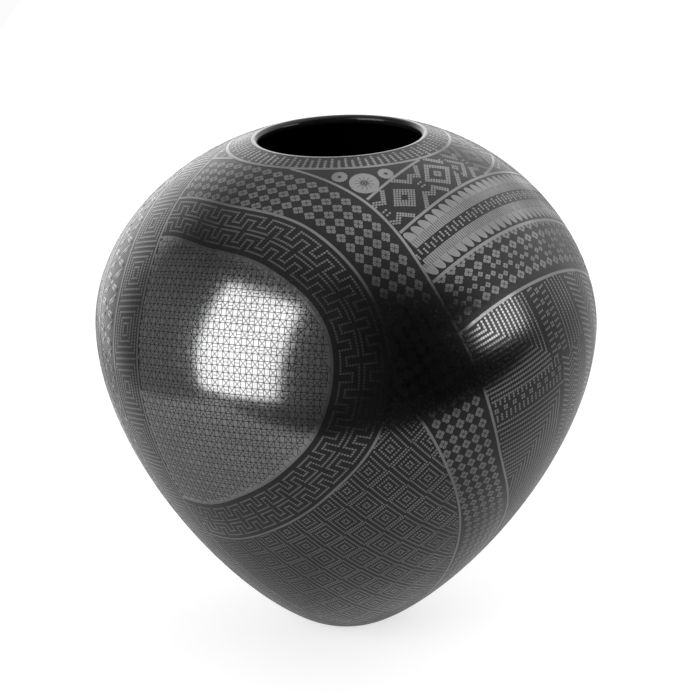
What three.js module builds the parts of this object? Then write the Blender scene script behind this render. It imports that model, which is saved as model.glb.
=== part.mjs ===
// A burnished black clay pot, raised by hand from coils of clay.
// Units are millimetres, +Z is up, and the origin is the centre of the base.
import * as THREE from "three";

// Driving dimensions of the outside.
const BASE_RADIUS = 25.4;      // the flat foot it stands on
const BASE_FLARE = 28;         // degrees above level at which the wall leaves the foot
const BASE_REACH = 47.7;       // how far the wall runs before it turns upward
const BELLY_RADIUS = 135;      // widest radius
const BELLY_HEIGHT = 171.7;    // height of the widest point
const BELLY_PULL_DOWN = 66.9;  // fullness of the wall below the belly
const BELLY_PULL_UP = 41;      // fullness of the shoulder above the belly
const MOUTH_RADIUS = 46.3;     // outer edge of the lip
const MOUTH_HEIGHT = 273.5;    // height of that edge
const MOUTH_SLOPE = 16;        // degrees by which the shoulder falls away from the lip
const MOUTH_REACH = 54.6;      // how far the shoulder keeps that slope

// The mouth of this handmade pot sits a little to one side and tips with it.
const MOUTH_SHIFT = 3.6;
const MOUTH_TILT = 2.4;
const LEAN_ONSET = 1.5;        // power by which the lean grows above the belly

// Wall and joints.
const WALL_AT_BASE = 7.5;
const WALL_AT_LIP = 5;
const LAP = 6;                 // how far each coil laps over the one below it
const LUTING = 0.2;            // the line of wet clay between two coils, measured up the wall
const BASE_SHARE = 0.13;       // part of the wall's length that belongs to the base
const LIP_SHARE = 0.035;       // part of the wall's length that belongs to the lip
const COILS = 8;

// Fineness of the meshes.
const SIDES = 48;
const ROWS_PER_COIL = 4;
const ROWS_IN_LIP = 2;
const STEPS_ROUND_LIP = 6;

const CLAY_COLOUR = 0x1b1b1c;
const CLAY_ROUGHNESS = 0.4;

// The outside of the wall, from the edge of the foot to the edge of the lip.
const belly = new THREE.Vector2(BELLY_RADIUS, BELLY_HEIGHT);
const foot = new THREE.Vector2(BASE_RADIUS, 0);
const mouth = new THREE.Vector2(MOUTH_RADIUS, MOUTH_HEIGHT);
const flare = THREE.MathUtils.degToRad(BASE_FLARE);
const slope = THREE.MathUtils.degToRad(MOUTH_SLOPE);
const outside = new THREE.CurvePath();
outside.add(new THREE.CubicBezierCurve(
  foot,
  new THREE.Vector2(Math.cos(flare), Math.sin(flare)).multiplyScalar(BASE_REACH).add(foot),
  new THREE.Vector2(BELLY_RADIUS, BELLY_HEIGHT - BELLY_PULL_DOWN),
  belly,
));
outside.add(new THREE.CubicBezierCurve(
  belly,
  new THREE.Vector2(BELLY_RADIUS, BELLY_HEIGHT + BELLY_PULL_UP),
  new THREE.Vector2(Math.cos(slope), -Math.sin(slope)).multiplyScalar(MOUTH_REACH).add(mouth),
  mouth,
));
const WALL_LENGTH = outside.getLength();

// The direction out of the wall, in the plane of the profile, at a share of its length.
function outward(share) {
  const along = outside.getTangent(share);
  return new THREE.Vector2(along.y, -along.x);
}

// A point at a share of the wall's length, at a depth given as a share of its thickness.
function wallPoint(share, depth) {
  const thickness = THREE.MathUtils.lerp(WALL_AT_BASE, WALL_AT_LIP, share);
  return outside.getPoint(share).addScaledVector(outward(share), -depth * thickness);
}

// Points along one face of the wall, both ends included.
function wallFace(start, end, depth, rows) {
  const points = [];
  for (let row = 0; row <= rows; row++) {
    points.push(wallPoint(THREE.MathUtils.lerp(start, end, row / rows), depth));
  }
  return points;
}

// The inner edge of a joint lies one lap further up the wall than its outer edge.
function lapped(share) {
  return share + LAP / WALL_LENGTH;
}

// Move the part above the belly a little aside and tip it.
function lean(geometry) {
  const place = geometry.getAttribute("position");
  const tip = Math.tan(THREE.MathUtils.degToRad(MOUTH_TILT));
  for (let i = 0; i < place.count; i++) {
    const x = place.getX(i);
    const z = place.getZ(i);
    const rise = Math.max(0, (z - BELLY_HEIGHT) / (MOUTH_HEIGHT - BELLY_HEIGHT));
    const amount = Math.pow(rise, LEAN_ONSET);
    place.setX(i, x - MOUTH_SHIFT * amount);
    place.setZ(i, z + x * tip * amount);
  }
}

// Turn a section round the upright axis into one named piece of clay.
function turned(name, section) {
  const geometry = new THREE.LatheGeometry(section, SIDES);
  geometry.rotateX(Math.PI / 2);
  lean(geometry);
  const clay = new THREE.MeshStandardMaterial({
    color: CLAY_COLOUR,
    roughness: CLAY_ROUGHNESS,
    metalness: 0,
  });
  const piece = new THREE.Mesh(geometry, clay);
  piece.name = name;
  return piece;
}

// The pat of clay pressed out for the base, with the first of the wall.
function basePat(end) {
  const floor = wallPoint(0, 1).y;
  return turned("base_pat", [
    new THREE.Vector2(0, 0),
    ...wallFace(0, end, 0, ROWS_PER_COIL),
    ...wallFace(lapped(end), 0, 1, ROWS_PER_COIL),
    new THREE.Vector2(0, floor),
  ]);
}

// One coil, pinched up into a stretch of wall.
function wallCoil(number, start, end) {
  const section = [
    ...wallFace(start, end, 0, ROWS_PER_COIL),
    ...wallFace(lapped(end), lapped(start), 1, ROWS_PER_COIL),
  ];
  return turned(`wall_coil_${number}`, [...section, section[0].clone()]);
}

// The last coil, rounded over into the lip.
function lipRoll(start) {
  const outer = outward(1);
  const upward = outside.getTangent(1);
  const middle = wallPoint(1, 0.5);
  const round = [];
  for (let step = 1; step < STEPS_ROUND_LIP; step++) {
    const turn = Math.PI * step / STEPS_ROUND_LIP;
    round.push(middle.clone()
      .addScaledVector(outer, Math.cos(turn) * WALL_AT_LIP / 2)
      .addScaledVector(upward, Math.sin(turn) * WALL_AT_LIP / 2));
  }
  const section = [
    ...wallFace(start, 1, 0, ROWS_IN_LIP),
    ...round,
    ...wallFace(1, lapped(start), 1, ROWS_IN_LIP),
  ];
  return turned("lip_roll", [...section, section[0].clone()]);
}

const group = new THREE.Group();
const lipStart = 1 - LIP_SHARE;
const luting = LUTING / WALL_LENGTH;
group.add(basePat(BASE_SHARE));
for (let coil = 0; coil < COILS; coil++) {
  const start = THREE.MathUtils.lerp(BASE_SHARE, lipStart, coil / COILS);
  const end = THREE.MathUtils.lerp(BASE_SHARE, lipStart, (coil + 1) / COILS);
  group.add(wallCoil(coil + 1, start + luting, end));
}
group.add(lipRoll(lipStart + luting));

export default group;
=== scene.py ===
import math

import bmesh
import bpy
import numpy as np
from mathutils import Matrix, Vector
from mathutils.geometry import interpolate_bezier

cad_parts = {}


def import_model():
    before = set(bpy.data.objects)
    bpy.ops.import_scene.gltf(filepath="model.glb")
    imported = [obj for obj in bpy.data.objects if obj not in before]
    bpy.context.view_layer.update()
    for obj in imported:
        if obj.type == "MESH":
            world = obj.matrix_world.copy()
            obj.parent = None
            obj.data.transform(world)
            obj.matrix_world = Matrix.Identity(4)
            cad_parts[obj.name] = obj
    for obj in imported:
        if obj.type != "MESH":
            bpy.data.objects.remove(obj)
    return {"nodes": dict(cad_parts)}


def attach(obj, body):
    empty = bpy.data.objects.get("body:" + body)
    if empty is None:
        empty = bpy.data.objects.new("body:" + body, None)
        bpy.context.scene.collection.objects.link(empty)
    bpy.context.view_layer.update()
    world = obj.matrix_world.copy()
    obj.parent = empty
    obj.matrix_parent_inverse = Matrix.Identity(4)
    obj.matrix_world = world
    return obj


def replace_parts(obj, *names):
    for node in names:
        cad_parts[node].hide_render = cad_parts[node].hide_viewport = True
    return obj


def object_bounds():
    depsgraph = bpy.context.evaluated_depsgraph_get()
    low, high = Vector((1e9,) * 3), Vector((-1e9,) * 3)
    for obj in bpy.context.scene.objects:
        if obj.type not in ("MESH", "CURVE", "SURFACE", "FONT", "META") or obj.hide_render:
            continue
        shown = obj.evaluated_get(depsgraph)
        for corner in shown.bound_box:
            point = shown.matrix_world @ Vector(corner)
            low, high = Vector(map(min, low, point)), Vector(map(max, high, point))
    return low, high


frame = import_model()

# A black clay pot raised from coils. Its satin ground is covered with panels of polished strokes.
# Lengths are in metres. Places in a panel are in degrees of turn on the pot.

MM = 0.001
CAD_LOW, CAD_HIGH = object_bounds()

# The outside of the wall.
FOOT_RADIUS = 25.4 * MM
FOOT_FLARE = math.radians(28)
FOOT_REACH = 47.7 * MM
BELLY_RADIUS = (CAD_HIGH.x - CAD_LOW.x) / 2
BELLY_HEIGHT = 171.7 * MM
BELLY_PULL_DOWN = 66.9 * MM
BELLY_PULL_UP = 41 * MM
MOUTH_RADIUS = 46.3 * MM
MOUTH_HEIGHT = 273.5 * MM
MOUTH_SLOPE = math.radians(16)
MOUTH_REACH = 54.6 * MM

# The mouth sits a little to one side and tips with it.
MOUTH_SHIFT = 3.6 * MM
MOUTH_TILT = math.tan(math.radians(2.4))
LEAN_ONSET = 1.5

# The wall and its lapped joints.
WALL_AT_BASE = 7.5 * MM
WALL_AT_LIP = 5 * MM
LAP = 6 * MM
BASE_SHARE = 0.13
LIP_SHARE = 0.035
COILS = sum(node.startswith("wall_coil") for node in frame["nodes"])

# How finely the clay is turned.
OUTLINE_STEPS = 200
STEPS_ROUND = 256
ROW = 4 * MM
JOINT_ROW = 0.2 * MM
FOOT_ROUNDING = 1.2 * MM
FLOOR_SHARE = 0.02
LIP_STEPS = 16

# The burnished line on the rim: the part of the lip's round that it covers.
RIM_LINE_UNDER = math.radians(10)
RIM_LINE_OVER = math.radians(42)
RIM_LINE_STEPS = 8

# Pieces closer than this are one point.
HAIR = 0.001 * MM

# The strokes stand this far above the ground and go this deep into it.
LINE_LIFT = 0.08 * MM
DOT_LIFT = 0.07 * MM
DARK_LIFT = 0.12 * MM
SUNK = 0.15 * MM

# The panels' middle: directions on the pot are seen from here.
HEART = 141.7 * MM
TOP = np.array((0.0, 0.0, 1.0))
FRONT = np.array((0.0, -1.0, 0.0))


# ---- The shape of the pot ----------------------------------------------------------------

def outside():
    """Radius and height of points up the outside of the wall, from the foot's edge to the lip's."""
    foot = Vector((FOOT_RADIUS, 0))
    belly = Vector((BELLY_RADIUS, BELLY_HEIGHT))
    mouth = Vector((MOUTH_RADIUS, MOUTH_HEIGHT))
    flare = Vector((math.cos(FOOT_FLARE), math.sin(FOOT_FLARE))) * FOOT_REACH
    slope = Vector((math.cos(MOUTH_SLOPE), -math.sin(MOUTH_SLOPE))) * MOUTH_REACH
    below = belly - Vector((0, BELLY_PULL_DOWN))
    above = belly + Vector((0, BELLY_PULL_UP))
    lower = interpolate_bezier(foot, foot + flare, below, belly, OUTLINE_STEPS)
    upper = interpolate_bezier(belly, above, mouth + slope, mouth, OUTLINE_STEPS)
    return np.array([p[:2] for p in lower + upper[1:]])


OUTLINE = outside()
ALONG = np.gradient(OUTLINE, axis=0)
ALONG /= np.linalg.norm(ALONG, axis=1)[:, None]
OUTWARD = np.stack([ALONG[:, 1], -ALONG[:, 0]], axis=1)
REACH = np.concatenate([[0], np.cumsum(np.linalg.norm(np.diff(OUTLINE, axis=0), axis=1))])
WALL_LENGTH = REACH[-1]
SHARE = REACH / WALL_LENGTH
POLAR = np.degrees(np.arctan2(OUTLINE[:, 0], OUTLINE[:, 1] - HEART))


def look_up(x, keys, rows):
    """Each column of rows, read at x along the rising keys."""
    return np.stack([np.interp(x, keys, column) for column in rows.T], axis=-1)


def on_wall(share, depth=0.0):
    """Radius and height at a share of the wall's length, at a share of its thickness."""
    thickness = WALL_AT_BASE + (WALL_AT_LIP - WALL_AT_BASE) * share
    return look_up(share, SHARE, OUTLINE) - look_up(share, SHARE, OUTWARD) * thickness * depth


def lean(points):
    """Move what is above the belly a little aside and tip it."""
    rise = np.clip((points[..., 2] - BELLY_HEIGHT) / (MOUTH_HEIGHT - BELLY_HEIGHT), 0, None)
    amount = rise ** LEAN_ONSET
    moved = points.copy()
    moved[..., 2] += points[..., 0] * MOUTH_TILT * amount
    moved[..., 0] -= MOUTH_SHIFT * amount
    return moved


def on_pot(directions, lift):
    """Where directions from the heart meet the outside, and lift above it."""
    polar = np.degrees(np.arccos(np.clip(directions[..., 2], -1, 1)))
    profile = look_up(-polar, -POLAR, OUTLINE)
    profile = profile + look_up(-polar, -POLAR, OUTWARD) * np.asarray(lift)[..., None]
    flat = np.hypot(directions[..., 0], directions[..., 1])
    x = directions[..., 0] / flat * profile[..., 0]
    y = directions[..., 1] / flat * profile[..., 0]
    return lean(np.stack([x, y, profile[..., 1]], axis=-1))


# ---- Finishes ----------------------------------------------------------------------------

SPECULAR = 0.24
CLOUD_SCALE = 38
CLOUD_DETAIL = 4
GRAIN_DETAIL = 3
DRIFT_LOW, DRIFT_HIGH = 0.3, 0.7


def finish_for(name, metallic, low_colour, high_colour, low_rough, high_rough, grain, depth):
    """A clay surface whose colour and roughness drift, with a fine grain."""
    material = bpy.data.materials.new(name)
    material.use_nodes = True
    nodes = material.node_tree.nodes
    link = material.node_tree.links.new
    clay = nodes["Principled BSDF"]
    clay.inputs["Metallic"].default_value = metallic
    clay.inputs["Specular IOR Level"].default_value = SPECULAR
    place = nodes.new("ShaderNodeTexCoord")
    cloud = nodes.new("ShaderNodeTexNoise")
    cloud.inputs["Scale"].default_value = CLOUD_SCALE
    cloud.inputs["Detail"].default_value = CLOUD_DETAIL
    link(place.outputs["Object"], cloud.inputs["Vector"])
    colour = nodes.new("ShaderNodeValToRGB")
    colour.color_ramp.elements[0].position = DRIFT_LOW
    colour.color_ramp.elements[0].color = (low_colour, low_colour, low_colour, 1)
    colour.color_ramp.elements[1].position = DRIFT_HIGH
    colour.color_ramp.elements[1].color = (high_colour, high_colour, high_colour, 1)
    link(cloud.outputs["Fac"], colour.inputs["Fac"])
    link(colour.outputs["Color"], clay.inputs["Base Color"])
    speck = nodes.new("ShaderNodeTexNoise")
    speck.inputs["Scale"].default_value = grain
    speck.inputs["Detail"].default_value = GRAIN_DETAIL
    link(place.outputs["Object"], speck.inputs["Vector"])
    rough = nodes.new("ShaderNodeMapRange")
    rough.inputs["From Min"].default_value = DRIFT_LOW
    rough.inputs["From Max"].default_value = DRIFT_HIGH
    rough.inputs["To Min"].default_value = low_rough
    rough.inputs["To Max"].default_value = high_rough
    link(speck.outputs["Fac"], rough.inputs["Value"])
    link(rough.outputs["Result"], clay.inputs["Roughness"])
    bump = nodes.new("ShaderNodeBump")
    bump.inputs["Distance"].default_value = depth
    link(speck.outputs["Fac"], bump.inputs["Height"])
    link(bump.outputs["Normal"], clay.inputs["Normal"])
    return material


GROUND = finish_for("satin_ground", 0, 0.003, 0.006, 0.2, 0.28, 900, 0.02 * MM)
POLISHED = finish_for("polished_stroke", 1, 0.13, 0.175, 0.13, 0.23, 500, 0.01 * MM)
BURNISHED = finish_for("burnished_disc", 1, 0.17, 0.22, 0.12, 0.22, 500, 0.01 * MM)
GLOSSY = finish_for("glossy_inside", 0, 0.005, 0.009, 0.06, 0.12, 300, 0.01 * MM)
SHARP_EDGE = math.radians(40)


def keep(name, shape, finishes):
    """Make a finished piece of a bmesh and set it on the pot."""
    mesh = bpy.data.meshes.new(name)
    shape.to_mesh(mesh)
    shape.free()
    for finish in finishes:
        mesh.materials.append(finish)
    mesh.shade_smooth()
    mesh.set_sharp_from_angle(angle=SHARP_EDGE)
    piece = bpy.data.objects.new(name, mesh)
    bpy.context.collection.objects.link(piece)
    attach(piece, "root")
    return piece


# ---- The clay ----------------------------------------------------------------------------

def move_all(shape, points):
    """Put each vertex of a bmesh at its point."""
    for vert, point in zip(shape.verts, points):
        vert.co = point


def turned(name, section, finishes):
    """Turn a closed section round the upright axis and lean it."""
    shape = bmesh.new()
    verts = [shape.verts.new((radius, 0, height)) for radius, height in section]
    edges = [shape.edges.new(pair) for pair in zip(verts, verts[1:])]
    if section[0][0] > 0:
        edges.append(shape.edges.new((verts[-1], verts[0])))
    bmesh.ops.spin(
        shape, geom=verts + edges, axis=TOP, cent=(0, 0, 0),
        angle=math.tau, steps=STEPS_ROUND, use_merge=True,
    )
    bmesh.ops.remove_doubles(shape, verts=shape.verts[:], dist=HAIR)
    move_all(shape, lean(np.array([vert.co for vert in shape.verts])))
    bmesh.ops.recalc_face_normals(shape, faces=shape.faces[:])
    heart = Vector((0, 0, HEART))
    for face in shape.faces:
        facing_in = face.normal.dot(face.calc_center_median() - heart) < 0
        face.material_index = int(facing_in and len(finishes) > 1)
    return keep(name, shape, finishes)


def face_of_wall(start, end, depth):
    """Points along one face of the wall, with a close row at each end to keep the joint unseen."""
    close = math.copysign(JOINT_ROW / WALL_LENGTH, end - start)
    rows = max(2, round(abs(end - start) * WALL_LENGTH / ROW))
    shares = [start, *np.linspace(start + close, end - close, rows), end]
    return [tuple(on_wall(share, depth)) for share in shares]


def arc(centre, radius, start, turn, steps):
    """Points round an arc, its two ends left out."""
    angles = [start + turn * step / steps for step in range(1, steps)]
    return [
        (centre[0] + radius * math.cos(angle), centre[1] + radius * math.sin(angle))
        for angle in angles
    ]


def base():
    """The pat of clay of the base, with the first of the wall. The foot's edge is worn round."""
    lapped = BASE_SHARE + LAP / WALL_LENGTH
    worn = FOOT_ROUNDING / WALL_LENGTH
    section = [
        (0, 0),
        (FOOT_RADIUS - FOOT_ROUNDING, 0),
        (FOOT_RADIUS - FOOT_ROUNDING * 0.2, 0.2 * MM),
        *face_of_wall(worn, BASE_SHARE, 0),
        *face_of_wall(lapped, FLOOR_SHARE, 1),
        (0, on_wall(0, 1)[1]),
    ]
    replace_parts(turned("base", section, [GROUND, GLOSSY]), "base_pat")


def coil(number):
    """One coil, pinched up into a stretch of wall."""
    height = (1 - LIP_SHARE - BASE_SHARE) / COILS
    start = BASE_SHARE + height * (number - 1)
    end = start + height
    lap = LAP / WALL_LENGTH
    section = face_of_wall(start, end, 0) + face_of_wall(end + lap, start + lap, 1)
    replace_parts(turned(f"coil_{number}", section, [GROUND, GLOSSY]), f"wall_coil_{number}")


def lip():
    """The last coil, rounded over into the lip, with a burnished line round its outer edge."""
    start = 1 - LIP_SHARE
    along = OUTLINE[-1] - OUTLINE[-2]
    outer = math.atan2(along[1], along[0]) - math.pi / 2
    middle = on_wall(1, 0.5)
    section = [
        *face_of_wall(start, 1, 0),
        *arc(middle, WALL_AT_LIP / 2, outer, math.pi, LIP_STEPS),
        *face_of_wall(1, start + LAP / WALL_LENGTH, 1),
    ]
    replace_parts(turned("lip", section, [GROUND, GLOSSY]), "lip_roll")
    low = outer - RIM_LINE_UNDER
    high = outer + RIM_LINE_OVER
    turned("rim_line", [
        *arc(middle, WALL_AT_LIP / 2 + LINE_LIFT, low, high - low, RIM_LINE_STEPS),
        *arc(middle, WALL_AT_LIP / 2 - SUNK, high, low - high, RIM_LINE_STEPS),
    ], [POLISHED])


# ---- Panels: where things are on the pot -------------------------------------------------

def heading(azimuth, polar):
    """The direction at an azimuth from the front, to the right, and an angle down from the top."""
    azimuth = np.radians(azimuth)
    polar = np.radians(polar)
    return np.stack(
        [np.sin(polar) * np.sin(azimuth), -np.sin(polar) * np.cos(azimuth), np.cos(polar)], axis=-1
    )


class Panel:
    """A round panel. Its edge is given by its distance from the middle at evenly spaced bearings.

    A bearing is zero towards the top of the pot and grows to the right.
    """

    def __init__(self, azimuth, polar, radii=(1,)):
        self.seat = (azimuth, polar)
        self.middle = heading(azimuth, polar)
        up = FRONT if polar in (0, 180) else TOP - self.middle * self.middle[2]
        self.up = up / np.linalg.norm(up)
        self.right = np.cross(self.up, self.middle)
        self.radii = np.array(radii, float)

    def place(self, bearing, distance):
        bearing = np.radians(bearing)[..., None]
        distance = np.radians(distance)[..., None]
        away = np.cos(bearing) * self.up + np.sin(bearing) * self.right
        return np.cos(distance) * self.middle + np.sin(distance) * away

    def radius(self, bearing):
        """The edge's distance, drawn smoothly through the given ones."""
        count = len(self.radii)
        turn = (np.asarray(bearing, float) / (360 / count)) % count
        before = np.floor(turn).astype(int)
        part = turn - before
        a, b, c, d = (self.radii[(before + step) % count] for step in (-1, 0, 1, 2))
        bend = 2 * a - 5 * b + 4 * c - d + part * (3 * (b - c) + d - a)
        return b + part / 2 * (c - a + part * bend)

    def depth(self, directions):
        """How far inside the edge each direction is, in degrees. Outside it is negative."""
        bearing = np.degrees(np.arctan2(directions @ self.right, directions @ self.up))
        distance = np.degrees(np.arccos(np.clip(directions @ self.middle, -1, 1)))
        return self.radius(bearing) - distance

    def from_edge(self, bearing, inward):
        """Chart: bearing, and degrees inward from the edge."""
        return self.place(bearing, self.radius(bearing) - inward)

    def beyond_edge(self, bearing, outward):
        """Chart: bearing, and degrees outward from the edge."""
        return self.place(bearing, self.radius(bearing) + outward)

    def flat(self, right, up):
        """Chart: degrees to the right of the middle and above it."""
        return self.place(np.degrees(np.arctan2(right, up)), np.hypot(right, up))


def between(inner, outer, parts):
    """Chart: bearing, and how many of the equal parts of the way from inner edge to outer edge."""
    def chart(bearing, part):
        near, far = inner.radius(bearing), outer.radius(bearing)
        return outer.place(bearing, near + (far - near) * part / parts)
    return chart


def slanted(chart, degrees):
    """The same chart with its grid turned anticlockwise."""
    c, s = math.cos(math.radians(degrees)), math.sin(math.radians(degrees))
    return lambda right, up: chart(right * c - up * s, right * s + up * c)


def within(directions, inside, outside, margin):
    """Which directions are in all of the inside panels and in none of the outside ones."""
    found = np.ones(directions.shape[:-1], bool)
    for panel in inside:
        found &= panel.depth(directions) > margin
    for panel in outside:
        found &= panel.depth(directions) < -margin
    return found


# The panels, by the middle's azimuth and angle down from the top, and the edge's distances.
COLLAR = Panel(0, 0, [23.6, 23.8, 24.5, 25, 25, 24.6, 24.4, 24.4, 24.4, 24.5, 24.4, 23.9])
RIM = Panel(0, 0, [19.4])
FOOT = Panel(0, 180, [10.8])
WEST = Panel(-137, 103, [83, 86.5, 90, 86.5, 83.5, 86, 89, 87.5, 87, 87, 86, 84.5])
WEST_2 = Panel(-137, 103, [76.5, 76.5, 80, 75, 72.5, 73.5, 76, 77, 77, 77, 77, 77])
WEST_3 = Panel(-137, 103, [68.5])
FRET_OUT = Panel(-40, 78, [41, 45, 48, 47, 42, 41, 44.5, 47.5, 46, 44.5, 44.5, 45])
FRET_IN = Panel(-40, 78, [30, 33, 37, 34.5, 30, 28.5, 31.5, 35, 33, 32.5, 34, 34])
FLOWER_OUT = Panel(-50, 110, [86.5, 90.5, 86.5, 86, 90.5, 87, 82, 84.5, 87.5, 88, 87, 85.5])
FLOWER_IN = Panel(-50, 110, [49, 51, 67.5, 73, 75.5, 75, 71, 70, 70, 67, 59.5, 51])
EAST_1 = Panel(55, 117, [93, 94, 95, 95, 95, 95, 95, 95, 95, 94, 92.5, 91.5])
EAST_2 = Panel(55, 117, [82.5, 83, 84, 84, 84, 84, 84, 83.5, 83, 82.5, 82, 81.5])
EAST_3 = Panel(55, 117, [69.5, 69.5, 70, 70, 70, 70, 70, 70, 70, 70, 70, 70])
EAST_4 = Panel(55, 117, [58, 58, 58, 58, 58, 58, 58, 58.5, 59, 59.5, 59.5, 59])
SHOULDER = Panel(0, 0, [34.7])
SHOULDER_FRONT = Panel(10, 34, [24])
WEST_4 = Panel(-137, 103, [57])
WEST_5 = Panel(-137, 103, [45])
WEST_6 = Panel(-137, 103, [31])

LINE_WIDTH = 0.62
UNDER_LINE = LINE_WIDTH / 2
LINE_STEPS = 480


# ---- Strokes -----------------------------------------------------------------------------

def dab(sides, taper=0.9):
    """The small slab that a stroke is: one across, with sloping sides. Four sides make a square."""
    square = sides == 4
    radius = math.sqrt(0.5) if square else 0.5
    shape = bmesh.new()
    bmesh.ops.create_cone(
        shape, cap_ends=True, segments=sides, radius1=radius, radius2=radius * taper, depth=1,
        matrix=Matrix.Rotation(math.pi / 4 if square else 0, 4, "Z"),
    )
    mesh = bpy.data.meshes.new(f"dab_{sides}")
    shape.to_mesh(mesh)
    shape.free()
    return mesh


def slab(name, shape):
    """Give flat faces a thickness of one and make them a mesh."""
    faces = bmesh.ops.extrude_face_region(shape, geom=shape.faces[:], use_keep_orig=True)["geom"]
    raised = [part for part in faces if isinstance(part, bmesh.types.BMVert)]
    bmesh.ops.translate(shape, verts=raised, vec=TOP)
    mesh = bpy.data.meshes.new(name)
    shape.to_mesh(mesh)
    shape.free()
    return mesh


ROUND = dab(6)
NARROW = dab(4, 0.95)


def lay(name, mesh, marks, chart, finish=POLISHED, inside=(), outside=(), margin=0.45):
    """Lay a copy of a dab on the pot for each mark: its place, length, width and turn."""
    right, up, length, width, turn = np.array(marks, float).T
    found = within(chart(right, up), inside, (*outside, FOOT), margin)
    right, up, length, width, turn = (
        column[found][:, None] for column in (right, up, length, width, np.radians(turn))
    )
    corners = np.array([vert.co for vert in mesh.vertices])
    along = corners[:, 0] * length
    across = corners[:, 1] * width
    lift = DARK_LIFT if finish is GROUND else DOT_LIFT
    heights = np.where(corners[:, 2] > 0, lift, -SUNK)
    places = chart(
        right + along * np.cos(turn) - across * np.sin(turn),
        up + along * np.sin(turn) + across * np.cos(turn),
    )
    shape = bmesh.new()
    for points in on_pot(places, heights):
        mesh.vertices.foreach_set("co", points.ravel())
        shape.from_mesh(mesh)
    mesh.vertices.foreach_set("co", corners.ravel())
    bmesh.ops.recalc_face_normals(shape, faces=shape.faces[:])
    return keep(name, shape, [finish])


def spread(name, chart, rights, ups, steps, finish=POLISHED, inside=(), outside=(),
           margin=UNDER_LINE):
    """Lay a polished sheet over a range of a chart, trimmed to its panel and given a thickness."""
    shape = bmesh.new()
    bmesh.ops.create_grid(shape, x_segments=steps[0], y_segments=steps[1], size=0.5)
    spots = np.array([vert.co for vert in shape.verts]) + 0.5
    places = chart(
        rights[0] + (rights[1] - rights[0]) * spots[:, 0],
        ups[0] + (ups[1] - ups[0]) * spots[:, 1],
    )
    found = within(places, inside, (*outside, FOOT), margin)
    cut = [face for face in shape.faces if not all(found[vert.index] for vert in face.verts)]
    move_all(shape, on_pot(places, np.full(len(places), LINE_LIFT)))
    bmesh.ops.delete(shape, geom=cut, context="FACES")
    bmesh.ops.remove_doubles(shape, verts=shape.verts[:], dist=10 * HAIR)
    bmesh.ops.recalc_face_normals(shape, faces=shape.faces[:])
    heart = Vector((0, 0, HEART))
    sample = shape.faces[:][0]
    if sample.normal.dot(sample.calc_center_median() - heart) < 0:
        bmesh.ops.reverse_faces(shape, faces=shape.faces[:])
    bmesh.ops.solidify(shape, geom=shape.faces[:], thickness=LINE_LIFT + SUNK)
    return keep(name, shape, [finish])


def edge_line(name, panel, outside=(), width=LINE_WIDTH, inside=()):
    """The polished line round a panel."""
    return spread(
        name, panel.from_edge, (0, 360), (-width / 2, width / 2), (LINE_STEPS, 1),
        inside=inside, outside=outside, margin=0.0,
    )


def dots_along(corners, pitch_right, pitch_up):
    """Evenly spaced places along a path of straight strokes. Its last corner is left out."""
    dots = []
    for (r0, u0), (r1, u1) in zip(corners, corners[1:]):
        count = max(1, round(math.hypot((r1 - r0) / pitch_right, (u1 - u0) / pitch_up)))
        dots += [(r0 + (r1 - r0) * i / count, u0 + (u1 - u0) * i / count) for i in range(count)]
    return dots


def diamond(right, up):
    """The corners of a diamond, with its first one again at the end."""
    return [(right, 0), (0, up), (-right, 0), (0, -up), (right, 0)]


def marks_at(places, length, width):
    """The same unturned mark at each place."""
    return [(right, up, length, width, 0) for right, up in places]


def repeated(marks, steps):
    """The marks again at each step to the right and up."""
    marks = np.array(marks, float)
    return np.concatenate([marks + (right, up, 0, 0, 0) for right, up in steps])


def blossom():
    """Eight petals in a square that stands on its corner, parted by thin rays. It is one across."""
    shape = bmesh.new()
    bmesh.ops.create_circle(shape, cap_ends=True, cap_tris=True, segments=8, radius=0.5)
    drawn_in, ray = 0.73, 0.044
    sides = [vert for vert in shape.verts if abs(vert.co.x * vert.co.y) > 0.01]
    bmesh.ops.scale(shape, verts=sides, vec=(drawn_in, drawn_in, 1))
    rays = bmesh.ops.inset_individual(shape, faces=shape.faces[:], thickness=ray)
    bmesh.ops.delete(shape, geom=rays["faces"], context="FACES")
    return slab("blossom", shape)


BLOSSOM = blossom()


# ---- Panel by panel ----------------------------------------------------------------------

def collar():
    """Ticks that hang from the rim and stand on the collar's line in turn."""
    ticks, dots = 92, 5
    gap, pitch, high = 0.75, 0.72, 0.74
    marks = []
    for tick in range(ticks):
        hanging = tick % 2
        for dot in range(dots):
            drop = gap + pitch * dot + (0 if hanging else gap)
            marks.append((360 * tick / ticks, drop, 2.1 + 0.3 * (dot % 2), high, 0))
    lay("collar_ticks", ROUND, marks, RIM.beyond_edge, inside=[COLLAR], margin=0.35)
    edge_line("collar_line", COLLAR, width=0.66)


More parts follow.
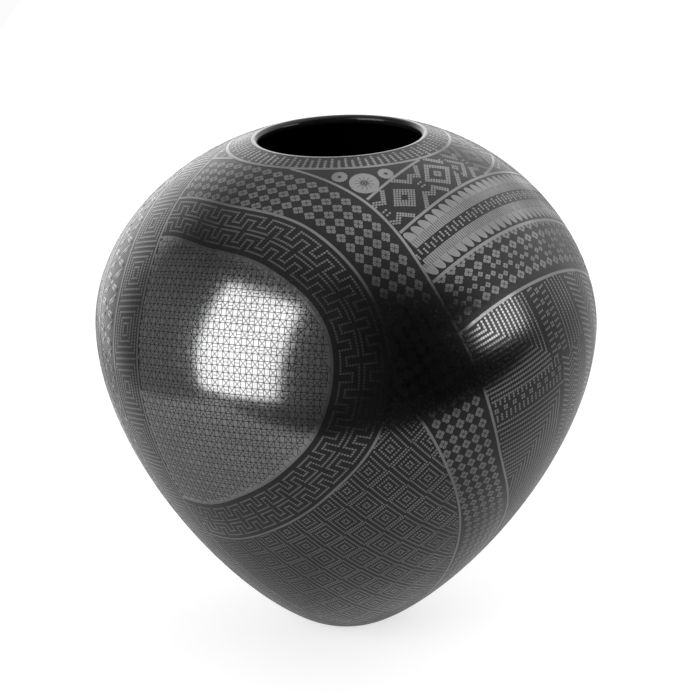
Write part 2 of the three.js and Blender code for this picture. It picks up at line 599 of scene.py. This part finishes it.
def lines():
    """The line round every panel below the collar, drawn only where no other panel covers it."""
    edge_line("west_line", WEST, outside=[COLLAR])
    edge_line("west_line_2", WEST_2, outside=[COLLAR])
    edge_line("west_line_3", WEST_3, outside=[COLLAR])
    edge_line("fret_outer_line", FRET_OUT, outside=[COLLAR, WEST])
    edge_line("fret_inner_line", FRET_IN, outside=[COLLAR, WEST])
    edge_line("flower_outer_line", FLOWER_OUT, outside=[COLLAR, WEST])
    edge_line("flower_inner_line", FLOWER_IN, outside=[COLLAR, WEST, FRET_OUT])
    edge_line("shoulder_line", SHOULDER,
              outside=[COLLAR, WEST, FLOWER_OUT, EAST_2, SHOULDER_FRONT])
    for number, panel in enumerate((WEST_4, WEST_5, WEST_6), 4):
        edge_line(f"west_line_{number}", panel, outside=[COLLAR])
    edge_line("east_line_1", EAST_1, outside=[COLLAR, WEST, FLOWER_OUT],
              inside=[SHOULDER_FRONT])
    for number, panel in enumerate((EAST_2, EAST_3, EAST_4), 2):
        edge_line(f"east_line_{number}", panel, outside=[COLLAR, WEST, FLOWER_OUT])


def double_fret(name, inner, outer, phase, turns, inside, outside):
    """Two rows of interlocking dotted square waves."""
    repeat = 360 / turns
    wave_long, rows_apart, band_high = 10, 6.15, 15
    half = wave_long / 2
    dip, bump = 1.35, 1.3
    waves = [
        [(-dip, 2.2), (-dip, 5.3), (dip, 5.3), (dip, 2.2), (wave_long - dip, 2.2)],
        [(half - bump, 7), (half - bump, 3.8), (half + bump, 3.8), (half + bump, 7),
         (wave_long + half - bump, 7)],
    ]
    one = [dot for wave in waves for dot in dots_along(wave, 0.97, 0.8)]
    both = one + [(right + half, up + rows_apart) for right, up in one]
    fitted = [(right * repeat / wave_long, up) for right, up in both]
    marks = repeated(
        marks_at(fitted, 0.09 * repeat, 0.76), [(phase + repeat * turn, 0) for turn in range(turns)]
    )
    lay(name, ROUND, marks, between(inner, outer, band_high), inside=inside, outside=outside)


def flower_band():
    """Rows of blossoms, corner to corner."""
    around, rows, row = 124, 12, 2.43
    steps = [
        (360 * step / around, 0.15 + row * line) for step in range(around) for line in range(rows)
    ]
    marks = marks_at(steps, 2.9, row)
    lay("flower_band", BLOSSOM, marks, FLOWER_OUT.from_edge, inside=[FLOWER_OUT],
        outside=[COLLAR, WEST, FRET_OUT, FLOWER_IN])


def cane(name, edge, grid, outside):
    """A polished disc with the dark lines of woven cane: long diagonals, and a box in each mesh."""
    hub = Panel(*edge.seat, [0])
    spread(f"{name}_ground", between(hub, edge, 1), (0, 360), (0, 1), (240, 40),
           finish=BURNISHED, outside=outside)
    wide, high = 2.57, 2.87
    box_wide, box_high = 0.42 * wide, 0.48 * high
    line = 0.14
    slant = math.degrees(math.atan2(high, wide))
    diagonal = math.hypot(wide, high) / 2
    cell = [(wide / 2, high / 2, box_wide, line, 0)]
    for side in (-1, 1):
        cell += [
            (side * wide / 4, high / 4, diagonal, line, -side * slant),
            (side * wide / 4, -high / 4, diagonal, line, side * slant),
        ]
        for right, up in ((0, 0), (wide / 2, high / 2)):
            cell += [
                (right + side * box_wide / 2, up, 0.62 * high, line, 90),
                (right, up + side * box_high / 2, 0.56 * wide, line, 0),
            ]
    marks = repeated(cell, [
        (wide * across, high * up) for across in range(-20, 17) for up in range(-15, 16)
    ])
    lay(f"{name}_lines", NARROW, marks, grid, finish=GROUND, inside=[edge], outside=outside,
        margin=UNDER_LINE + 0.45)


def diamonds():
    """Nested dotted diamonds."""
    half_right, half_up = 4.7, 5.1
    rings = []
    for size in (0.85, 0.51, 0.18):
        rings += dots_along(diamond(half_right * size, half_up * size), 0.68, 0.68)
    steps = []
    for across in range(-12, 13):
        for up in range(-8, 9):
            offset = half_up * (across % 2)
            steps.append((4.6 + half_right * across, 7 + 2 * half_up * up + offset + 0.45 * across))
    marks = repeated(marks_at(rings, 0.6, 0.6), steps)
    lay("diamond_dots", ROUND, marks, Panel(5, 115).flat, inside=[FLOWER_IN],
        outside=[COLLAR, WEST, FRET_OUT])


def textile_dots(corners):
    """The dots of a textile stroke."""
    return dots_along(corners, 0.62, 0.5)


def textile(name, chart, phase, turns, inside, outside):
    """Diamonds in turn with rings round a blossom, between double zigzags."""
    middle, half = 4.8, 6
    strokes = []
    for right, up in ((3.2, 2.6), (2.35, 1.9), (1.5, 1.2)):
        strokes += textile_dots(diamond(right, up))
    for right, up in ((4.2, 3.1), (3.4, 2.45)):
        strokes += [(2 * half + r, u) for r, u in textile_dots(diamond(right, up))]
    inset, tip, notch, valley = 1.6, 4.3, 2.6, 1.55
    zigzag = textile_dots([
        (inset, tip), (half - inset, valley), (half, notch), (half + inset, valley),
        (2 * half - inset, tip),
    ])
    for side in (-1, 1):
        for start in (0, 2 * half):
            for outward in (0, 0.7):
                strokes += [(start + r, side * (u + outward)) for r, u in zigzag]
    for start in (half, 3 * half):
        strokes += [(start + 0.4 * r, 0.5 * u) for r in (-1, 1) for u in (-1, 1)]
    blossoms = [(2 * half, middle, 2.8, 2.2)]
    for start in (half, 3 * half):
        blossoms += [(start, 0.2, 3.0, 2.3), (start, 9.4, 3.0, 2.3)]
    wide = 360 / turns / (4 * half)
    dots = [(r * wide, middle + u, 0.7 * wide, 0.54, 0) for r, u in strokes]
    blossoms = [(r * wide, u, length * wide, width, 0) for r, u, length, width in blossoms]
    steps = [(phase + 4 * half * wide * turn, 0) for turn in range(turns)]
    lay(name, ROUND, repeated(dots, steps), chart, inside=inside, outside=outside)
    lay(f"{name}_blossoms", BLOSSOM, repeated(blossoms, steps), chart, inside=inside,
        outside=outside)


def feather_tip():
    """A round tip that leans to one side."""
    shape = bmesh.new()
    bmesh.ops.create_circle(shape, cap_ends=True, segments=14, radius=0.5)
    leaning = Matrix.Identity(4)
    leaning[0][1] = -0.55
    bmesh.ops.transform(shape, verts=shape.verts[:], matrix=leaning)
    return slab("feather_tip", shape)


def feathers():
    """Two facing rows of polished feathers with dark barbs, and a strip of dashes between them."""
    band = between(EAST_3, EAST_2, 12)
    inside, outside = [EAST_2], [COLLAR, WEST, FLOWER_OUT, EAST_3]
    count = 152
    pitch = 360 / count
    for name, ups in (("feathers_upper", (2.1, 4.7)), ("feathers_lower", (7.3, 9.9))):
        spread(name, band, (0, 360), ups, (360, 3), inside=[EAST_2],
               outside=[COLLAR, WEST, FLOWER_OUT])
    tips, barbs, dashes = [], [], []
    for feather in range(count):
        right = pitch * feather
        tips += [(right, 2.3, pitch * 0.93, 3.4, 180), (right, 9.7, pitch * 0.93, 3.4, 0)]
        for up in (3.4, 8.6):
            barbs.append((right + pitch / 2, up, 2.7, 0.13, 90))
        for barb in (-0.25, 0, 0.25):
            barbs += [(right + pitch * barb, up, 1.8, 0.12, 92) for up in (3.75, 8.25)]
        for half in (0, 1):
            low = 5.25 + 0.55 * half
            dashes += [(right + pitch * half / 2, low + 0.5 * dot, 0.6, 0.52, 0) for dot in range(3)]
    lay("feather_tips", feather_tip(), tips, band, inside=inside, outside=outside, margin=0.5)
    lay("feather_barbs", NARROW, barbs, band, finish=GROUND, inside=inside, outside=outside,
        margin=0.4)
    lay("feather_dashes", ROUND, dashes, band, inside=inside, outside=outside)


def blossom_rows():
    """Rows of single blossoms and of small paired ones."""
    field = between(EAST_4, EAST_3, 11.6)
    around = 112
    pitch = 360 / around
    marks = []
    for up in (0.35, 2.6, 8.6, 11.0):
        marks += marks_at([(pitch * step, up) for step in range(around)], 3.1, 2.25)
    for row, up in enumerate((4.3, 5.6, 6.9)):
        for side in (-0.95, 0.95):
            start = pitch * (0.4 + row % 2) + side
            pairs = [(start + 2 * pitch * step, up) for step in range(around // 2)]
            marks += marks_at(pairs, 1.9, 1.4)
    lay("blossom_rows", BLOSSOM, marks, field, inside=[EAST_3],
        outside=[COLLAR, WEST, FLOWER_OUT, EAST_4])


def rosette(name, azimuth, polar, size, scallop, rays):
    """A polished disc with a dark eye and rays. Every other ray of a big one is long."""
    seat = Panel(azimuth, polar)

    def petalled(bearing, distance):
        wave = np.cos(np.radians(bearing * 14)) * (distance > size * 0.9)
        return seat.place(bearing, distance * (1 + scallop * wave))

    spread(name, petalled, (0, 360), (0, size), (112, 6))
    dark = [(0, 0, 0.5, 0.5, 0)]
    for ray in range(rays):
        turn = 360 / rays * ray
        long = size > 2 and ray % 2
        middle = size * (0.38 if long else 0.22)
        dark.append((
            middle * math.cos(math.radians(turn)), middle * math.sin(math.radians(turn)),
            size * (0.5 if long else 0.2), 0.11, turn,
        ))
    lay(f"{name}_rays", NARROW, dark, seat.flat, finish=GROUND)


def rosettes():
    """A plain disc between two small scalloped ones."""
    rosette("rosette_1", 10.4, 28.9, size=3.1, scallop=0, rays=22)
    rosette("rosette_2", 0, 26.5, size=1.65, scallop=0.06, rays=8)
    rosette("rosette_3", 21.6, 26.7, size=1.65, scallop=0.06, rays=8)


BEAD_PITCH = 0.62

# How far the field's strokes run on past its panel, which trims them.
FIELD_LEFT, FIELD_TOP, FIELD_BOTTOM = -26, 50, -95


def beads(path):
    """The dots of a meander stroke."""
    return dots_along(path, BEAD_PITCH, BEAD_PITCH)


def nested_corners(nests, corner, step, end):
    """Beaded lines that come in from the left and turn at a corner, one beside the next."""
    dots = []
    for nest in nests:
        right = corner[0] + step[0] * nest
        up = corner[1] + step[1] * nest
        dots += beads([(FIELD_LEFT, up), (right, up), (right, end)])
    return dots


def comb(start, middle, teeth):
    """Teeth of three beads on both sides of a middle, with four beads beside every other tooth.

    The places are given along the comb and across it.
    """
    places = []
    for tooth in range(teeth):
        along = start + 1.25 * tooth
        for side in (-1, 1):
            places += [(along, middle + side * (1.3 + BEAD_PITCH * bead)) for bead in range(3)]
        if tooth % 2:
            places += [(along + 0.3 * a, middle + 0.3 * b) for a in (-1, 1) for b in (-1, 1)]
    return places


def chevrons(rows, top, left, wide, high, turns):
    """Beaded zigzags, one below the next."""
    dots = []
    for row in range(rows):
        up = top - 1.35 * row
        dots += beads([(left + wide * step, up - high * (step % 2)) for step in range(turns)])
    return dots


def meander_field():
    """Nested corners above and below a band of combs, with chevrons beyond them."""
    dots = nested_corners(range(-2, 12), (-6.1, 27.3), (1.2, -1.03), FIELD_TOP)
    for row in range(3):
        up = 15 - 1.05 * row
        dots += beads([(FIELD_LEFT, up), (8.4, up)])
    dots += comb(FIELD_LEFT, 10.4, 30)
    dots += [(across, along) for along, across in comb(13.5, 11.7, 26)]
    for column in range(6):
        right = 15.6 + 1.3 * column
        dots += beads([(right, 12.4), (right, FIELD_TOP)])
    dots += beads([(FIELD_LEFT, 6.6), (12, 6.6)])
    dots += nested_corners(range(14), (9.9, 5.3), (-1.07, -1.27), FIELD_BOTTOM)
    dots += chevrons(80, 12, 12.2, 2.2, 1.5, 5)
    dots += chevrons(110, FIELD_TOP, 24, 4.4, 3, 15)
    lay("meander_dots", ROUND, marks_at(dots, 0.64, 0.64), slanted(Panel(46, 90).flat, 14),
        inside=[EAST_4], outside=[COLLAR, WEST, FLOWER_OUT])


def labyrinth(name, inner, outer, phase, turns, inside, outside):
    """Nested rectangles drawn with fine lines, and an upright between one nest and the next."""
    repeat = 360 / turns
    nest_wide, upright = 12.4, 4.2
    dots = []
    for ring in range(1, 5):
        right, up = 1.24 * ring, 1.02 * ring - 0.15
        corners = [(right, up), (-right, up), (-right, -up), (right, -up), (right, up)]
        dots += dots_along(corners, 0.66, 0.6)
    dots += dots_along([(nest_wide / 2, upright), (nest_wide / 2, -upright)], 0.66, 0.6)
    fitted = [(right * repeat / nest_wide, up + 5) for right, up in dots]
    marks = repeated(
        marks_at(fitted, 0.054 * repeat, 0.66), [(phase + repeat * turn, 0) for turn in range(turns)]
    )
    lay(name, ROUND, marks, between(inner, outer, 10), inside=inside, outside=outside)


def leaves():
    """Crossed polished leaves with a dark vein."""
    band = between(WEST_3, WEST_2, 8)
    crossings, slope = 60, 52
    leaf, vein = [], []
    for side in (-1, 1):
        for row, way in ((2.2, 1), (5.8, -1)):
            turn = side * slope * way
            leaf.append((side * 1.3, row, 3.3, 1.5, turn))
            vein.append((side * 1.3, row, 2.6, 0.16, turn))
    leaf.append((3, 4, 1.1, 1.1, 0))
    steps = [(360 / crossings * step, 0) for step in range(crossings)]
    inside, outside = [WEST_2], [COLLAR, WEST_3]
    lay("leaves", dab(8), repeated(leaf, steps), band, inside=inside, outside=outside, margin=0.9)
    lay("leaf_veins", NARROW, repeated(vein, steps), band, finish=GROUND, inside=inside,
        outside=outside, margin=0.9)


def west():
    """The panels of the other side, ring in ring."""
    labyrinth("labyrinth", WEST_2, WEST, 6, 29, [WEST], [COLLAR, WEST_2])
    leaves()
    double_fret("west_fret", WEST_4, WEST_3, 0, 50, [WEST_3], [COLLAR, WEST_4])
    around, rows, row_pitch = 112, 5, 2.4
    steps = [
        (360 / around * step, WEST_4.radii[0] - row_pitch / 2 - row_pitch * row)
        for step in range(around) for row in range(rows)
    ]
    lay("west_blossoms", BLOSSOM, marks_at(steps, 3.1, row_pitch), WEST_4.place,
        inside=[WEST_4], outside=[COLLAR, WEST_5])
    labyrinth("west_labyrinth", WEST_6, WEST_5, 0, 18, [WEST_5], [COLLAR, WEST_6])
    cane("west_cane", WEST_6, Panel(*WEST_6.seat).flat, [COLLAR])


def zigzag_rows():
    """Dotted zigzags on the back of the shoulder."""
    wide, high = 5.2, 1.8
    dots = []
    for row in range(30):
        up = 1.2 + 1.3 * row
        for step in range(70):
            start = wide * step
            zigzag = [(start, up), (start + wide / 2, up + high), (start + wide, up)]
            dots += dots_along(zigzag, 0.66, 0.62)
    lay("zigzag_dots", ROUND, marks_at(dots, 0.66, 0.62), EAST_2.beyond_edge,
        outside=[COLLAR, WEST, FLOWER_OUT, EAST_2, SHOULDER, SHOULDER_FRONT])


# ---- The room ----------------------------------------------------------------------------

def direction_to(azimuth, elevation):
    """The direction at an azimuth from the front, to the right, and an angle up from level."""
    azimuth = math.radians(azimuth)
    elevation = math.radians(elevation)
    return Vector((
        math.sin(azimuth) * math.cos(elevation),
        -math.cos(azimuth) * math.cos(elevation),
        math.sin(elevation),
    ))


# The room's light: towards where, from which closeness to it until which, and how strong there.
ROOM_LIGHT = (
    ((0.10, 0.25, 0.96), 0.52, 1.00, 0.012, 1.25),    # the ceiling
    ((0.55, 0.35, 0.76), 0.69, 0.86, 0.012, 1.7),     # the ceiling's right end
    ((0.72, 0.55, 0.42), 0.66, 0.95, 0.012, 1.1),     # the wall on the right
    ((-0.30, 0.95, 0.00), 0.50, 1.00, 0.012, 1.9),    # the backdrop
    ((-1.00, 0.10, 0.00), 0.60, 0.95, 0.012, 0.42),   # the wall on the left
    ((-0.75, -0.62, 0.20), 0.30, 0.85, 0.012, 0.25),  # what spills past the softbox
)
BACKDROP_SEEN = 0.97

# The table reaches this far to the front and to the left. Its glow is what the pot gets from it.
TABLE_FRONT = -0.33
TABLE_LEFT = -0.42
TABLE_HALF = 5
TABLE_COLOUR = (0.4, 0.4, 0.4, 1)
TABLE_ROUGHNESS = 0.8
TABLE_GLOW, TABLE_SEEN = 0.28, 0.68

LENS = 121.9
CAMERA_PLACE = Vector((0, -1.2179, 0.5763))
CAMERA_AIM = Vector((0.0021, 0, 0.1537))


def softbox(name, azimuth, elevation, distance, width, height, power):
    """A soft light that faces the pot from an azimuth and elevation seen from it."""
    light = bpy.data.lights.new(name, "AREA")
    light.shape = "RECTANGLE"
    light.size = width
    light.size_y = height
    light.energy = power
    lamp = bpy.data.objects.new(name, light)
    towards = direction_to(azimuth, elevation)
    lamp.location = Vector((0, 0, HEART)) + towards * distance
    lamp.rotation_euler = (-towards).to_track_quat("-Z", "Y").to_euler()
    lamp.visible_camera = False
    bpy.context.collection.objects.link(lamp)


def glow_towards(tree, place, towards, start, end, low, high):
    """How strong the room's light is in each direction, from one of its patches."""
    facing = tree.nodes.new("ShaderNodeVectorMath")
    facing.operation = "DOT_PRODUCT"
    facing.inputs[1].default_value = towards
    tree.links.new(place, facing.inputs[0])
    level = tree.nodes.new("ShaderNodeMapRange")
    level.interpolation_type = "SMOOTHSTEP"
    level.inputs["From Min"].default_value = start
    level.inputs["From Max"].default_value = end
    level.inputs["To Min"].default_value = low
    level.inputs["To Max"].default_value = high
    tree.links.new(facing.outputs["Value"], level.inputs["Value"])
    return level.outputs["Result"]


def brighter(tree, one, other):
    """The brighter of two values."""
    most = tree.nodes.new("ShaderNodeMath")
    most.operation = "MAXIMUM"
    tree.links.new(one, most.inputs[0])
    tree.links.new(other, most.inputs[1])
    return most.outputs["Value"]


def world():
    """Bright above, behind and to the right, dim on the left, and dark on the viewer's side."""
    room = bpy.data.worlds.new("studio")
    bpy.context.scene.world = room
    room.use_nodes = True
    tree = room.node_tree
    place = tree.nodes.new("ShaderNodeTexCoord").outputs["Generated"]
    path = tree.nodes.new("ShaderNodeLightPath")
    total = glow_towards(tree, place, *ROOM_LIGHT[0])
    for patch in ROOM_LIGHT[1:]:
        total = brighter(tree, total, glow_towards(tree, place, *patch))
    seen = tree.nodes.new("ShaderNodeMix")
    tree.links.new(path.outputs["Is Camera Ray"], seen.inputs["Factor"])
    tree.links.new(total, seen.inputs["A"])
    seen.inputs["B"].default_value = BACKDROP_SEEN
    glow = tree.nodes["Background"]
    glow.inputs["Color"].default_value = (1, 1, 1, 1)
    tree.links.new(seen.outputs["Result"], glow.inputs["Strength"])


def pale_paper():
    """A pale surface that glows, more to the eye than to the pot."""
    paper = bpy.data.materials.new("pale_paper")
    paper.use_nodes = True
    nodes = paper.node_tree.nodes
    surface = nodes["Principled BSDF"]
    surface.inputs["Base Color"].default_value = TABLE_COLOUR
    surface.inputs["Roughness"].default_value = TABLE_ROUGHNESS
    surface.inputs["Emission Color"].default_value = (1, 1, 1, 1)
    path = nodes.new("ShaderNodeLightPath")
    glow = nodes.new("ShaderNodeMapRange")
    glow.inputs["To Min"].default_value = TABLE_GLOW
    glow.inputs["To Max"].default_value = TABLE_SEEN
    paper.node_tree.links.new(path.outputs["Is Camera Ray"], glow.inputs["Value"])
    paper.node_tree.links.new(glow.outputs["Result"], surface.inputs["Emission Strength"])
    return paper


def floor():
    """A pale table, wide enough to fill the view."""
    shape = bmesh.new()
    bmesh.ops.create_grid(shape, x_segments=1, y_segments=1, size=TABLE_HALF)
    bmesh.ops.translate(
        shape, verts=shape.verts[:], vec=(TABLE_HALF + TABLE_LEFT, TABLE_HALF + TABLE_FRONT, 0)
    )
    mesh = bpy.data.meshes.new("floor")
    shape.to_mesh(mesh)
    shape.free()
    mesh.materials.append(pale_paper())
    sheet = bpy.data.objects.new("floor", mesh)
    bpy.context.collection.objects.link(sheet)


def camera():
    """A long lens that looks a little down on the pot."""
    lens = bpy.data.cameras.new("camera")
    lens.lens = LENS
    viewer = bpy.data.objects.new("camera", lens)
    viewer.location = CAMERA_PLACE
    viewer.rotation_euler = (CAMERA_AIM - CAMERA_PLACE).to_track_quat("-Z", "Y").to_euler()
    bpy.context.collection.objects.link(viewer)
    bpy.context.scene.camera = viewer


base()
for number in range(1, COILS + 1):
    coil(number)
lip()
collar()
lines()
double_fret("fret_ring", FRET_IN, FRET_OUT, 5.8, 36, [FRET_OUT], [COLLAR, WEST])
flower_band()
cane("cane", FRET_IN, slanted(Panel(-30, 75).flat, 5), [WEST])
diamonds()
textile("textile_front", between(EAST_2, EAST_1, 9.6), 7, 15, [EAST_1, SHOULDER_FRONT],
        [COLLAR, WEST, FLOWER_OUT, EAST_2])
textile("textile_back", SHOULDER.from_edge, 3, 9, [SHOULDER],
        [COLLAR, WEST, FLOWER_OUT, EAST_2, SHOULDER_FRONT])
zigzag_rows()
feathers()
blossom_rows()
rosettes()
meander_field()
west()
camera()
floor()
world()
softbox("left_softbox", -47, 13.5, distance=1.6, width=1.12, height=1.88, power=34)
softbox("side_light", 74, 18, distance=1.6, width=0.74, height=0.4, power=5.2)
bpy.context.scene.view_settings.view_transform = "Standard"
